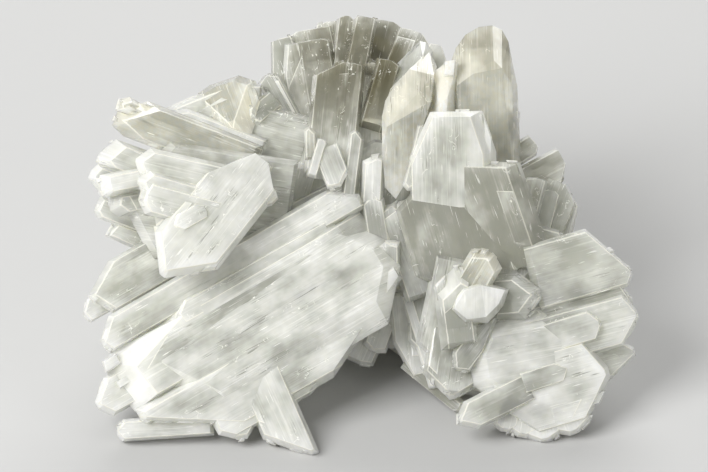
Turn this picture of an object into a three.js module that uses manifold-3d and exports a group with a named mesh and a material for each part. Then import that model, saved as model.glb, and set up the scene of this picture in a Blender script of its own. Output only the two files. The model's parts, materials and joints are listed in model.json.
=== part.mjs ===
// A selenite (gypsum) crystal cluster: one piece of intergrown, bladed crystals.
//
// Units are millimetres, +Z up. The front crystals are listed in a leaning frame: u to the right, v up the
// sloping front and w out of it. That frame is turned upright, the back crystals are added, and the cluster
// is cut flat at its base. It stands on z = 0 with the origin under the middle of its bounding box.
import * as THREE from "three";
import Module from "manifold-3d";

const wasm = await Module();
wasm.setup();

// Driving dimensions
const LEAN = 55; // degrees that the front's frame is turned up about X
const FLOOR = -36; // height of the flat base under the frame's origin
const SIDE_BEVEL = 0.13; // run of a prism face over the blade's thickness
const END_BEVEL = 0.17; // run of a termination face over the blade's thickness
const MOST_BEVEL = 0.35; // most run of a prism face over the blade's width
const UNDER_END = 0.7; // run of a termination face on the underside over the blade's thickness
const UNDER_SIDE = 0.4; // run of a prism face on the underside over the blade's thickness
const NEAR = 0.05; // corners nearer than this are one
const TINY = 1e-6; // an edge shorter than this has no direction

// The hidden back: each tier fans out from its hub between two compass angles, counted from +X toward +Y
const BACK_RHYTHM = 2.4; // radians between one blade's swing and the next
// How far a blade swings from its tier's mean: turn, rise and roll in degrees, the others as shares
const BACK_SWING = { turn: 4, rise: 7, roll: 35, reach: 0.12, wide: 0.2, setback: 0.2 };
const BACK_SETBACK = 0.35; // mean setback of a tip's corners over the blade's width
const BACK_POINT = 0.15; // width of a tip's point over the blade's width
const BACK_END = 0.6; // run of a termination face over the blade's thickness
const BACK_TIERS = [
  { from: 58, to: 124, count: 5, tilt: 30, reach: 46, wide: 20, thick: 8, hub: [2, 8, -6] },
  { from: 30, to: 152, count: 8, tilt: 8, reach: 52, wide: 19, thick: 10, hub: [0, 8, -10] },
  { from: -2, to: 184, count: 12, tilt: -11, reach: 58, wide: 20, thick: 11, hub: [0, 6, -14] },
  { from: -12, to: 192, count: 9, tilt: -32, reach: 44, wide: 22, thick: 12, hub: [0, 12, -16] },
];

// A bladed crystal. Its plate faces lie at plus and minus half the thickness. It runs from its foot to its
// tip, and roll turns the plate about that line. Both ends are chisel-shaped, with the corner setbacks and
// the place and width of the point in cut = [left, right, offset, width], and in footCut for the foot.
// bevel = [end run, left run, right run, right end's run]: how far the end and side faces slope in from the
// middle plane to the upper plate. On the underside they slope in further, so that a crystal seen edge-on is
// a wedge.
function blade(tip, foot, [wide, thick, roll], cut, bevel = [], footCut = [0, 0, 0, wide]) {
  const [endRun = END_BEVEL * thick, leftRun = Math.min(SIDE_BEVEL * thick, MOST_BEVEL * wide)] = bevel;
  const [, , rightRun = leftRun, rightEndRun = endRun] = bevel;
  return { tip, foot, wide, thick, roll, cut, endRun, leftRun, rightRun, rightEndRun, footCut };
}

// A stubby crystal with no plate of its own, given by its corners
function block(...corners) {
  return { corners };
}

// The broad bundle at the lower left: long parallel blades lying like shingles
const leftBundle = [
  blade([-65.4, -15.6, 8], [-31, 4.2, 1], [12.2, 7, 0], [3, 8.4, 0.4, 1.6]),
  blade([-67.4, -19.4, 3], [-51.6, -10.2, 0], [5.6, 3, 0], [0.4, 2.4, 0, 1]),
  blade([-63.2, -26, 11.6], [1, 11, 5.8], [8.6, 7, 0], [1.2, 5, -1, 1.6], [], [0.4, 6.8, -1.6, 2]),
  blade([-59.4, -37.4, 12.4], [6.4, 0.6, 5.4], [16, 9, 0], [1.2, 3.8, 3, 7.6], [7, 1.2], [7.6, 2, 0, 2.4]),
  blade([-50, -50.8, 13.6], [14.2, -13.8, 5.8], [18, 10, 0], [22, 0.4, 7, 4], [1.4, 1.8], [27.6, 0.4, 6, 4]),
  blade([-34, -48.8, 14], [-3.8, -31.4, 9], [7, 6, 0], [3, 0.2, 0.8, 3], [], [10, 0, 1.6, 2]),
  blade([-64.2, -41.8, 12], [-38.4, -27.2, 6], [9.6, 6, 0], [2.4, 5, -0.4, 2]),
  blade([-59, -48.4, 11.6], [-34.8, -46.8, 11.6], [5.6, 6, 0], [1.2, 1.8, 0, 2.4]),
  blade([-29.8, -50.2, 14], [-24.4, -40.8, 11], [6, 5, 0], [1.6, 1.6, 0, 2]),
  blade([-13.8, -56.2, 14.4], [-25.8, -29, 11], [11.6, 7, 0], [0.2, 8.8, -4.4, 1.6]),
  blade([-43.6, -19.8, 13.4], [-6, 1.4, 9], [5.4, 3, 0], [0.4, 3, 0, 0.8]),
];

// The upper left spray: blades that point left, and a broad one that leans out over the bundle
const leftSpray = [
  blade([-59, 31, 6], [-24.4, 17.8, -2], [10.4, 9, 0], [3.8, 6.4, -1.6, 4.2], [2.6]),
  blade([-63.2, 21.4, 11], [-39.4, 12.8, 4], [7.8, 8, 0], [1.6, 3, -2, 2], [2.4]),
  blade([-66, 15.4, 6], [-46.6, 8.2, 0], [6.4, 6, 0], [3.8, 1.2, 0, 2]),
  blade([-62.8, 12.2, 16], [-50.2, 15, 9], [5.8, 8, 0], [0.8, 0.4, 0, 3.6], [1]),
  blade([-60.8, 7.2, 12], [-48.8, 9.2, 7], [5.6, 7, 0], [2, 0.8, 0, 2], [2]),
  blade([-64.4, 7.6, 4], [-39.8, -1.8, -2], [5.6, 6, 0], [1.6, 0.2, 0, 3]),
  blade([-61.2, 1.8, 2], [-36.6, -7.6, -4], [4.8, 5, 0], [6.2, 1, -1, 2]),
  blade(
    [-46.8, -10.4, 23], [-23.6, 19.2, 9], [18, 8, 0], [10.4, 7.8, 0.8, 1.6], [0.9, 1.3], [5.6, 13.2, -0.4, 5],
  ),
  blade([-45.4, 1.8, 21.4], [-36.6, 6.9, 18.2], [5.2, 5, 0], [1.6, 2.4, 0, 1.6], [1], [0.8, 2.4, 0, 2]),
  blade([-54.2, 18.8, 15], [-27, 12.8, 11], [7.6, 8, 0], [2, 3, 0, 1]),
  blade([-53.6, 14, 18], [-31.4, 7.4, 13], [6.4, 8, 0], [2, 2, 0, 1]),
  blade([-53, 10.2, 18.4], [-33.4, 4.8, 15], [8.6, 8, 0], [2.4, 1, 0, 3]),
  blade([-21, 18, 9.6], [-29, 12.6, 12], [4.6, 5, 0], [1, 1.6, 0.4, 1.6]),
  blade([-19.2, 10.8, 10], [-27, 9, 12.4], [5.8, 5, 0], [1, 2, 0.6, 2]),
  blade([-58.6, 33.4, 4], [-46, 26, 1], [5, 6, 0], [1, 1.6, 0, 1.6]),
];

// The crystals behind the spray, between it and the fan
const backLeft = [
  blade([-27.4, 23.8, -2], [-32.6, 39.2, -12], [14.8, 9, 0], [9, 5.2, 1.8, 6.4], [4], [3.2, 1.2, 0, 7.6]),
  blade([-46.6, 31.8, -6], [-23.2, 31.6, -10], [13, 6, 0], [11.8, 14.4, 0, 1]),
  blade([-46.2, 30.6, -1], [-22.6, 21.6, -4], [5.6, 6, 0], [1, 3.6, 0, 1]),
  blade([-22.2, 40.6, -14], [-15.6, 28.6, -12], [6, 5, 0], [1, 1.6, 0, 1.6], [1]),
  blade([-26.6, 28.6, -5], [-20, 34.2, -9], [5.6, 6, 0], [0.8, 1, 0, 3]),
  blade([-26.2, 22, -8], [-17.2, 31.6, -12], [8, 7, -25], [1, 1, 0, 5]),
  blade([-15.8, 15.6, -8], [-14.6, 29.6, -10], [8, 7, 0], [1, 3.6, -1.6, 2]),
  blade([-12.8, 18.6, -6], [-16, 7.8, -8], [7.6, 7, 20], [1, 1, 0, 4]),
  blade([-19.6, 39.2, -11.6], [-14, 28.6, -10.6], [1.2, 3, 10], [0.2, 0.2, 0, 0.4]),
];

// The fan of broad, clear plates at the top back
const backFan = [
  blade([-19.6, 49.6, -26], [-9, 21.6, -16], [8.4, 5, 0], [7.6, 0.4, -0.4, 2.4]),
  blade([-12.6, 52.2, -30], [-6, 21.8, -20], [14, 5, 0], [2, 0.4, -1, 2.4]),
  blade([-12.6, 49.2, -20], [-8.4, 24.2, -14], [13.6, 7, 0], [8, 0.8, 0, 10]),
  blade([-5, 54.4, -32], [-2.2, 24.2, -20], [10, 5, 0], [1, 0.8, 0, 4]),
  blade([-1.8, 55.4, -24], [-4.6, 31.8, -14], [5, 6, 0], [1, 1.2, 0.2, 2]),
  blade([3, 54.8, -20], [-1.6, 31.6, -8], [6, 6, 0], [0.8, 0.4, 0, 4.4]),
  blade([8.8, 53.8, -28], [3.6, 29.2, -14], [11, 6, 0], [0.8, 2, -0.4, 4]),
  blade([16.2, 51, -26], [6.6, 26.6, -12], [11, 6, 0], [0.8, 3.6, -0.4, 3.6]),
  blade([22, 47.6, -22], [10.4, 24.2, -10], [7, 5, 0], [0.8, 3.6, -0.4, 1.6]),
  blade([9, 44.2, -9], [4, 26.6, -4], [6.4, 6, 0], [0.4, 1, 0, 2]),
];

// The dark central column between the fan and the bundle
const centreColumn = [
  blade([-3.4, 43.8, -9], [-6.4, 14, 0], [13, 8, 0], [4.4, 0.6, 2, 3.4]),
  blade([0.8, 26.4, 1], [-1.4, 9, 4], [4, 6, 0], [1, 2, -0.4, 1]),
  blade([3, 43.8, -15], [3, 11.6, -6], [9, 7, 0], [1, 1, 0, 4]),
  blade([-3.4, 12.4, 6.4], [-7.2, 22, 3], [6.6, 3, 0], [3, 0.6, 0.4, 1.6], [0.5]),
  blade([-7.8, 24.2, 3.6], [-10.6, 14.6, 5.4], [2.6, 3, 0], [0.2, 0.6, 0, 1]),
  blade([-11, 27.4, 2.6], [-10.8, 19, 2.6], [3, 4, 0], [0.8, 1.6, -0.2, 0.4]),
];

// The stout upright crystals at the upper right, with frosted roof faces
const uprights = [
  block(
    [8.2, 27.2, 7], [19.2, 33.6, 3], [20, 40.2, 0], [14.4, 21.4, 6], [12.4, 12.4, 8],
    [10.4, 9.2, 8], [7.8, 12, 8], [7, 21, 8], [7, 29.8, 3], [7.8, 33.8, 1],
    [9.6, 36.8, -1], [13.8, 41.8, -4], [19, 46.2, -8], [20.8, 42.6, -8], [20.6, 34.2, -6],
    [9.6, 27.8, -8], [10.4, 11.6, 0], [17.8, 31.6, -12],
  ),
  blade([16.4, 49.2, -12], [9, 26.6, -6], [8.4, 9, 0], [9, 1.6, 1, 1.6], [4]),
  blade([23, 43.8, -4], [21.4, 19, 1], [6, 9, 0], [3, 0.4, 1, 1], [8, 2]),
  block(
    [25.8, 37.6, -1], [29.8, 40.6, -1.6], [35, 44, -3], [37, 42, -2], [39.6, 37.8, -3],
    [40, 14, 2], [27, 14, 3], [24.4, 44, -9], [25.6, 47.2, -10], [28, 50.6, -11],
    [31.4, 52.6, -12], [34.8, 53, -12], [37.2, 51.8, -12], [38.8, 49, -11], [39.6, 44.2, -9],
    [41, 37.6, -8], [41.4, 27.8, -6], [42, 14, -3], [25.2, 14, -3], [29.2, 44.4, -17],
    [36.8, 44.4, -17], [29.2, 14, -12], [38, 14, -12],
  ),
  blade([40, 32.2, -8], [38.6, 15.2, -4], [3.6, 6, 0], [1, 1, 0, 1]),
  blade([24.4, 31, 10], [24.9, 7, 6.2], [21.6, 9, 0], [11.6, 10.4, 1, 13], [0.8, 0.5, 3.4, 3.2]),
  blade([27.4, 22.3, 8.6], [38.2, -9.2, 4.6], [24, 9, -8], [0.4, 8.2, -11, 1], [0.8, 0.5, 3.4]),
  blade([13.4, 9.4, 3], [21.4, -14, 2], [17.6, 8, 0], [2, 4.4, 0, 5]),
  blade([13.4, 11.2, 9], [17.4, 27.4, 6], [3.2, 4, 0], [1, 1, 0, 0.4]),
  blade([5, 20.2, 5], [4.4, 7.8, 4], [5.6, 6, 0], [1.6, 0.4, 1, 1.6]),
  blade([4.4, 10, 5], [6.4, -2.4, 4], [6, 6, 0], [1, 1, 0, 3]),
  blade([9, 8, 4], [12, -6.4, 3], [6, 6, 0], [1, 1.6, 0, 2.4]),
  blade([8, -1, 7], [8, -10, 5], [7, 6, 0], [1, 0.4, 0, 4.4]),
];

// The fringe of small blades down the right edge
const rightFringe = [
  blade([45.6, 23.4, -9], [35, 16.6, -5], [5.6, 5, 0], [0.6, 1.6, 0.6, 1.4]),
  blade([53, 18, -9], [41, 11.6, -4], [9.6, 6, 0], [0.4, 4.4, -2, 4.6]),
  blade([52, 11.8, -11], [49.6, 4, -8], [3, 4, 0], [0.8, 0.8, 0, 0.8]),
  blade([45.6, 14.6, -2], [41, -2, 2], [6, 6, 0], [1, 0.4, 1, 3]),
  blade([49.6, 11.4, -5], [45.6, -3.6, 0], [5, 5, 0], [0.8, 1, 0, 2.4]),
  blade([54.2, 10.2, -8], [50.6, -4.8, -3], [5.6, 5, 0], [0.8, 2.4, -0.4, 2]),
  blade([52, -2, 0], [44, 0, 2], [6.4, 6, 0], [1.6, 2, 0, 1.6]),
];

// The rosette at the lower right: plates that fan out from its left edge
const rosette = [
  blade([67.8, -4, 5.4], [43.8, -10.8, 9.6], [16.8, 7, 0], [8.4, 1.8, 5, 2]),
  blade([70.8, -19.8, 7.4], [37.6, -28.8, 10.6], [12.6, 6, 0], [2.4, 5.6, -0.4, 2]),
  blade([69, -16, 4.8], [36.4, -25, 9.4], [10.6, 6, 0], [1.6, 3.6, 0, 2]),
  blade([61.6, -21.4, 9.6], [40.8, -27.6, 10.8], [8.4, 6, 0], [2.4, 2.2, 0, 2]),
  blade([70.4, -29.8, 3], [46, -36.6, 7], [8.8, 6, 0], [2.4, 8.4, -1, 2]),
  blade([63.6, -34, 8.8], [34.6, -42.4, 10.4], [20, 8, 0], [4, 8.4, -0.4, 2.4], [], [0, 8.4, -4, 9]),
  blade([53.4, -33, 11], [41.2, -36.8, 13], [6, 5, 0], [3, 2, -0.4, 0.8]),
  blade([55.2, -49.2, 10], [50.2, -35.8, 9], [10, 6, 0], [2, 2, 0.4, 2.4]),
  blade([47.6, -51.4, 10], [45, -37, 9], [9, 6, 0], [1.6, 2, 0, 2.4]),
  blade([41.8, -50.2, 10], [43.8, -37, 9], [7, 6, 0], [1.6, 1.2, 0, 2.4]),
  blade([37.4, -48.8, 10], [40, -37, 10], [6.4, 6, 0], [1.6, 1.2, 0, 2.4]),
  blade([25.6, -46.2, 15], [43.8, -37.2, 11.4], [7.8, 6, 0], [4, 3.6, 0, 1.6]),
  blade([24.4, -39.8, 6], [28.4, -13.4, 6], [16, 8, 0], [5, 4.4, 0, 4]),
  blade([18.4, -30, 0], [17.6, -8.6, -2], [9.6, 6, 0], [1, 3.6, 0, 3]),
  blade([25.2, -33.2, 11.6], [35.6, -19.6, 13], [6.6, 6, 0], [1.6, 3, 0, 1], [], [9, 5, 0, 1]),
];

// The blocky little crystals in the middle of the right side
const blocks = [
  blade([24.2, -8, 18], [26.8, -27.8, 12], [10.4, 9, 0], [4.4, 1.6, 1.6, 2.4], [3, 2]),
  blade([33.8, -4, 17], [25.4, -18.6, 15.6], [9, 8, 0], [1.6, 2, 0, 2.6], [2, 1.2]),
  block(
    [27.4, -13.4, 23], [31.4, -12.2, 23], [37.4, -13.4, 20], [35.8, -16.8, 21], [32.6, -20, 22],
    [28, -20.6, 22], [24.8, -18, 22], [25.4, -15.6, 22], [26.2, -12.4, 17], [31.2, -11.2, 17],
    [39, -13.2, 14], [37.2, -17.4, 15], [33.2, -21.6, 16], [27.2, -21.8, 16], [23.4, -18.6, 16],
    [31.4, -16, 8],
  ),
  blade([46.4, -14.4, 14], [34.4, -15.4, 11], [12, 8, 0], [5.6, 4.4, 0, 2.4], [2, 2]),
];

// The thin plates low in the gap between the bundle and the rosette
const gapPlates = [
  blade([14.6, -35.6, -2], [12.6, -14, -3], [8, 5, 0], [0.4, 9, -1, 2]),
  blade([20.4, -38, 2], [13, -14.4, 0], [3.2, 4, 0], [0.4, 0.4, 0, 1]),
  blade([27.4, -43.4, 2], [12.6, -31.4, -4], [3.8, 5, 0], [0.4, 1, 0, 2]),
  blade([26, -40, 5], [18, -31.4, 2], [4.4, 5, 0], [0.8, 0.8, 0, 1.6]),
  blade([-0.2, -31.6, -8], [8.6, -12.2, -8], [10, 6, 0], [1, 1.6, 0, 3.6]),
  blade([9.6, -28.2, -10], [9.6, -12.4, -10], [7.6, 5, 0], [1, 1.6, 0, 2]),
  blade([4.8, -29, -4], [9.6, -16, -6], [6.4, 5, 0], [0.8, 1, 0, 2.4]),
];

// Broad blades just under the front crystals, which close the clefts between them
const infill = [
  blade([-50, -35.4, 12.9], [8, -1.6, 7.6], [36, 7, 8], [12, 17, 3, 5], [4, 6], [10, 12, -3, 8]),
  blade([22, 13, 8.2], [30, -14, 6.4], [26, 6, 0], [3, 2, 0, 16], [1, 1], [8, 2, 2, 12]),
  blade([56, -28, 9.3], [29, -33.4, 12], [26, 7, 0], [8, 8, 0, 8], [4, 6], [6, 8, 0, 8]),
  blade([-56, 10, 8], [-16, 4, 2], [30, 10, 0], [8, 8, 0, 8]),
  blade([-8, 45, -24], [-8, 6, -9], [24, 10, 0], [6, 3, 0, 10]),
  blade([12, 47, -27], [6, 16, -10], [22, 10, 0], [3, 6, 0, 10]),
  blade([51, 14, -8], [42, -8, -2], [14, 8, 0], [3, 4, 0, 5]),
  blade([64, -22, 3], [30, -28, 6], [34, 8, 0], [10, 9, 0, 12]),
  blade([26, -34, 5], [32, -6, 8], [24, 8, 0], [5, 5, 0, 8]),
  blade([-44, 28, -7], [-12, 20, -9], [20, 8, 0], [6, 8, 0, 4]),
  blade([8, 24, -4], [6, -4, 0], [16, 8, 0], [3, 3, 0, 6]),
];

// The broad blades that lie deep between the front crystals, down to the base and out to the back
const deepBlades = [
  blade([-55, -23.6, -3], [4, 5.2, -12], [26, 14, 0], [5, 5, 0, 10]),
  blade([-43.4, -39.6, 4], [4, -13.6, -4], [17.6, 12, 0], [5, 2.4, 0, 5]),
  blade([-55.6, 9, -6], [-13.6, -1, -12], [21.6, 14, 0], [5, 5, 0, 7.6]),
  blade([-50.8, 1, 10], [-16, 9, -8], [20, 14, 0], [5, 5, 0, 7.6]),
  blade([-28.8, 31.4, -20], [-6, -1, -16], [25, 14, 0], [2.4, 7.6, 0, 10]),
  blade([-1, 46, -36], [-1, -3.6, -18], [23, 14, 0], [2.4, 2.4, 0, 15]),
  blade([16.6, 43, -22], [6.6, -3.6, -10], [15, 14, 0], [2.4, 2.4, 0, 7.6]),
  blade([29.2, 34.2, -14], [19, -16, -8], [27.6, 14, 0], [5, 5, 0, 12.4]),
  blade([46.8, 15.4, -14], [21.6, -11, -10], [21, 14, 0], [5, 5, 0, 7.6]),
  blade([61.6, -13.6, -4], [21.6, -21, -8], [25, 14, 0], [7.6, 5, 0, 7.6]),
  blade([59, -39.8, 2], [21.6, -27.4, -4], [19, 14, 0], [5, 5, 0, 7.6]),
  blade([44, -47.2, 4], [31.6, -26, -2], [15, 12, 0], [2.4, 2.4, 0, 7.6]),
  blade([17.6, -35, -10], [10.6, -3.6, -12], [12.4, 12, 0], [1.6, 12.4, -2.4, 3]),
  blade([3, -28.8, -16], [5.6, -1, -14], [12.4, 12, 0], [2.4, 2.4, 0, 5]),
  blade([45, -39, -12], [37, -5, -34], [24, 14, 0], [5, 3, 0, 8]),
  blade([34, -36, -13], [32, -6, -30], [14, 12, 0], [3, 3, 0, 5]),
  blade([2, -27, -33], [4, -3, -20], [18, 14, 0], [3, 3, 0, 6]),
  blade([-47, 24, -12], [-19, 17, -14], [15, 11, 0], [3, 4, 0, 4]),
  blade([55, 2, -13], [34, -9, -12], [13, 10, 0], [3, 3, 0, 4]),
  blade([22, 35, -31], [14, 4, -24], [15, 12, 0], [3, 4, 0, 4]),
  blade([3, 21, -54], [2, 6, -33], [16, 11, 0], [4, 5, 0, 3]),
];

const crystals = [
  leftBundle, leftSpray, backLeft, backFan, centreColumn, uprights, rightFringe, rosette, blocks, gapPlates,
  infill, deepBlades,
].flat();

// The outline of a blade in its middle plane, anticlockwise: x across, y along, tip at y = length
function outline({ wide, cut, footCut }, length) {
  const half = wide / 2;
  const [left, right, apex, flat] = cut;
  const [footLeft, footRight, footApex, footFlat] = footCut;
  return [
    [footApex + footFlat / 2, 0], [half, footRight], [half, length - right], [apex + flat / 2, length],
    [apex - flat / 2, length], [-half, length - left], [-half, footLeft], [footApex - footFlat / 2, 0],
  ];
}

// The convex polygon that lies inside each edge by the run given for it; edges run from corner i to i + 1.
function inset(corners, runs) {
  let kept = corners;
  corners.forEach(([x0, y0], i) => {
    const [x1, y1] = corners[(i + 1) % corners.length];
    const span = Math.hypot(x1 - x0, y1 - y0);
    if (span < TINY) return;
    const [nx, ny] = [-(y1 - y0) / span, (x1 - x0) / span];
    const depth = ([x, y]) => (x - x0) * nx + (y - y0) * ny - runs[i];
    kept = kept.flatMap((corner, j) => {
      const next = kept[(j + 1) % kept.length];
      const [here, there] = [depth(corner), depth(next)];
      const share = here / (here - there);
      const crossing = corner.map((value, axis) => value + share * (next[axis] - value));
      if (here >= 0) return there >= 0 ? [corner] : [corner, crossing];
      return there >= 0 ? [crossing] : [];
    });
  });
  return kept.filter(([x, y], i) => {
    const [nextX, nextY] = kept[(i + 1) % kept.length];
    return Math.hypot(nextX - x, nextY - y) > NEAR;
  });
}

// The closed convex solid of one crystal
function crystalSolid(crystal) {
  if (crystal.corners) return wasm.Manifold.hull(crystal.corners);
  const foot = new THREE.Vector3(...crystal.foot);
  const along = new THREE.Vector3(...crystal.tip).sub(foot);
  const length = along.length();
  along.normalize();
  const normal = new THREE.Vector3(0, 0, 1).addScaledVector(along, -along.z).normalize();
  normal.applyAxisAngle(along, THREE.MathUtils.degToRad(crystal.roll));
  const across = along.clone().cross(normal);
  const middle = outline(crystal, length);
  const { endRun, leftRun, rightRun, rightEndRun, wide, thick } = crystal;
  const plateFace = (end, left, right, rightEnd) => (
    inset(middle, [end, right, rightEnd, end, end, left, end, end])
  );
  const underEnd = UNDER_END * thick;
  const underSide = Math.min(UNDER_SIDE * thick, MOST_BEVEL * wide);
  const upper = plateFace(endRun, leftRun, rightRun, rightEndRun);
  const lower = plateFace(underEnd, underSide, underSide, underEnd);
  const place = ([x, y], z) => foot.clone()
    .addScaledVector(across, x).addScaledVector(along, y).addScaledVector(normal, z).toArray();
  return wasm.Manifold.hull([
    ...middle.map((corner) => place(corner, 0)),
    ...upper.map((corner) => place(corner, thick / 2)),
    ...lower.map((corner) => place(corner, -thick / 2)),
  ]);
}

// The back of the cluster: tiers of blades that fan out behind the front ones, down to the broken base
function backBlades() {
  return BACK_TIERS.flatMap(({ from, to, count, tilt, reach, wide, thick, hub }, tier) => (
    Array.from({ length: count }, (_, i) => {
      const share = i / (count - 1);
      const swing = Math.sin(BACK_RHYTHM * (i + 1) * (tier + 1));
      const turn = THREE.MathUtils.degToRad(from + (to - from) * share + BACK_SWING.turn * swing);
      const rise = THREE.MathUtils.degToRad(tilt + BACK_SWING.rise * swing);
      const length = reach * (1 - BACK_SWING.reach * Math.abs(swing));
      const direction = [Math.cos(turn) * Math.cos(rise), Math.sin(turn) * Math.cos(rise), Math.sin(rise)];
      const tip = hub.map((value, axis) => value + length * direction[axis]);
      const across = wide * (1 + BACK_SWING.wide * swing);
      const slant = BACK_SWING.setback * swing;
      const setbacks = [across * (BACK_SETBACK + slant), across * (BACK_SETBACK - slant)];
      const plate = [across, thick, BACK_SWING.roll * swing];
      return blade(tip, hub, plate, [...setbacks, 0, across * BACK_POINT], [BACK_END * thick]);
    })
  ));
}

// The joined cluster, with the pockets that the crystals closed off between them filled in
const front = crystals.map((crystal) => crystalSolid(crystal).rotate([LEAN, 0, 0]));
const back = backBlades().map(crystalSolid);
const grown = wasm.Manifold.union([...front, ...back]);
const standing = grown.trimByPlane([0, 0, 1], FLOOR);
const filled = wasm.Manifold.union(standing.decompose().filter((body) => body.volume() > 0));

const box = filled.boundingBox();
const footprint = [(box.min[0] + box.max[0]) / 2, (box.min[1] + box.max[1]) / 2];
const placed = filled.translate([-footprint[0], -footprint[1], -FLOOR]);
const mesh = placed.getMesh();
const geometry = new THREE.BufferGeometry();
geometry.setAttribute("position", new THREE.BufferAttribute(mesh.vertProperties, 3));
geometry.setIndex(new THREE.BufferAttribute(mesh.triVerts, 1));

const selenite = new THREE.MeshStandardMaterial({ color: 0xd9dacb, roughness: 0.3, metalness: 0 });
const cluster = new THREE.Mesh(geometry, selenite);
cluster.name = "selenite_cluster";
const part = new THREE.Group();
part.name = "selenite_crystal_cluster";
part.add(cluster);

export default part;
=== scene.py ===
# A selenite crystal cluster. The crystals are built in millimetres, in the same frame as the solid's, which
# leans back with the sloping front: u to the right, v up the slope and w out of it. Growth steps, strips at
# the tips and thinner blades are added to them, everything is joined into one closed mesh, and one procedural
# material covers it.
import json
import math
import random

import bmesh
import bpy
import numpy as np
from mathutils import Matrix, Vector

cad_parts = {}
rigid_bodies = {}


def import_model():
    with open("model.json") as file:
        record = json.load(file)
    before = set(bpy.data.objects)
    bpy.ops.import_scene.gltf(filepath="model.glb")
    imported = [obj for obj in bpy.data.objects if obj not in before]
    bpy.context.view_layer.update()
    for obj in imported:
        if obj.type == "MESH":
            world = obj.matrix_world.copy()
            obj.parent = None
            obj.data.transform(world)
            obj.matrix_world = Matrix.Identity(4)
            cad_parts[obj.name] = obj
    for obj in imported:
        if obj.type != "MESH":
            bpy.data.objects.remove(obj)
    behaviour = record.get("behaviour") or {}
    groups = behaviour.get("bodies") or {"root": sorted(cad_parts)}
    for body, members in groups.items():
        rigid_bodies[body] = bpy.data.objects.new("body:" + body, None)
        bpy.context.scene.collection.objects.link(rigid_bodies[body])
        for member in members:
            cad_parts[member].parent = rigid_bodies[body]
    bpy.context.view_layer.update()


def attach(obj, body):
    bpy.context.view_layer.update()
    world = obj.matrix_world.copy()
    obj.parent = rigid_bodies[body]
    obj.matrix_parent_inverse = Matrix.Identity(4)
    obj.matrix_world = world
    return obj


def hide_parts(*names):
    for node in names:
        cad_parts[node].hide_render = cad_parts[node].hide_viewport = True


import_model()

MM = 0.001  # metres in a millimetre
LEAN = 55  # degrees that the front's frame is turned up about X
LEANING_ORIGIN = Vector((-1.653, -8.292, 36.0))  # its place over the part's own origin
TO_PART = Matrix.Scale(MM, 4) @ Matrix.Translation(LEANING_ORIGIN)
TURNED_UP = Matrix.Rotation(math.radians(LEAN), 4, "X")

# Slopes of a blade's faces. A run is how far a face reaches in from the outline, over the blade's thickness.
END_BEVEL = 0.17  # run of a termination face
SIDE_BEVEL = 0.13  # run of a prism face
MOST_BEVEL = 0.35  # most run of a prism face over the blade's width
UNDER_END = 0.7  # run of a termination face on the underside
UNDER_SIDE = 0.4  # run of a prism face on the underside

# The photographed view
PHOTO_WIDTH = 708  # pixels
PIXEL = 0.25  # mm on the object
CAMERA_AWAY = 2000  # mm
CAMERA_NEAR = 0.1  # metres, the nearest thing that the camera sees
CAMERA_FAR = 20  # metres
SENSOR = 36  # mm

# How each crystal looks: shares of milkiness, of smoky tint, which is partly painted shade of the deep
# pocket, and of cream stain
GLASSY = (0.15, 0.1, 0.0)
PALE = (0.42, 0.03, 0.1)
MILKY = (0.62, 0.0, 0.1)
WHITE = (0.8, 0.0, 0.1)
GREY = (0.32, 0.25, 0.1)
# The smoky and dark looks carry a smoky tint that is partly painted shade of the deep pocket
SMOKY_SHADED = (0.18, 0.75, 0.1)
DARK = (0.12, 1.0, 0.0)
CREAM = (0.95, 0.05, 0.55)
TINGED = (0.3, 0.1, 0.5)
WARM = (0.5, 0.05, 0.55)
TANNED = (0.34, 0.17, 0.5)

# The smoky tint of the smoky blades, which is partly painted shade of the deep pocket, fades away from the
# pocket at the top
POCKET = (0.0, 43.0)  # its middle, in mm across and up
POCKET_REACH = 18.0  # mm
POCKET_EVEN = 1.5  # over 1, so that the smoke is even in the middle
POCKET_MILK = 0.5  # milkiness gained where the smoky tint and painted shade have faded, which also lightens these blades as painted light

# Meshing, in mm
NEAR = 0.05  # corners nearer than this are one
SHORT = 0.3  # an outline's edge shorter than this has no direction of its own
TINY = 1e-6  # a length that counts as none
FLAT = 0.002  # radians between faces that count as one
FAR = 50.0  # distance given to an edge that a crystal hasn't
SLAB_SIZE = 0.4  # metres, of the block under the floor that cuts the base flat

# Which faces count as a blade's sides and its end, from the direction they face
SIDE_OVER_END = 0.7
SIDE_LEAST = 0.2
END_LEAST = 0.35

# Thin growth steps on the plate faces, in mm
LEAST_STEPPED = 4.5  # a narrower blade carries no steps or strips
STEP_WIDE = (2.0, 6.0)
STEP_NARROWEST = 0.8
STEP_MARGIN = 0.1  # plate left free at both sides
STEP_HIGH = (0.05, 0.15)  # over the plate
STEP_SHARE = 0.1  # share of a plate's width that carries steps
STEP_DEPTH = 0.6  # how deep a step is rooted in its blade
STEP_SHOULDER = 0.02  # height of a step's upright sides
STEP_BEVEL = 0.3  # run of the bevels round a step or a strip
MOST_STEP_BEVEL = 0.25  # most of it over the width
STEP_ROOM = 4.0  # least length of plate that carries a step
STEP_BACK = (0.1, 0.5)  # a step's distance from the tip: a share of the plate, before the power below
STEP_BACK_POWER = 1.5
STEP_REACH = (0.35, 0.95)  # its length, as a share of what is left
STEP_RUN = 2.0  # its least length
STEP_SHADE = (0.25, 0.25)  # most milkiness that a step has less or more than its blade

# Narrow strips that stand out of a blade's tip, in mm
STRIP_EDGE = 0.5  # blade left free at both sides, and the least width of a strip
STRIP_WIDE = (1.0, 3.2)
STRIP_SHARE = 0.55  # chance that a strip stands out
STRIP_PAST = (-0.5, 0.7)  # how far it ends past the blade's outline
STRIP_THICK = (0.25, 0.6)  # over the blade's thickness
STRIP_OFF = 0.15  # most distance from the blade's middle plane, over its thickness
STRIP_ROOT = 4.0  # its least length
STRIP_SHADE = (0.0, 0.2)  # as for a step

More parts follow.
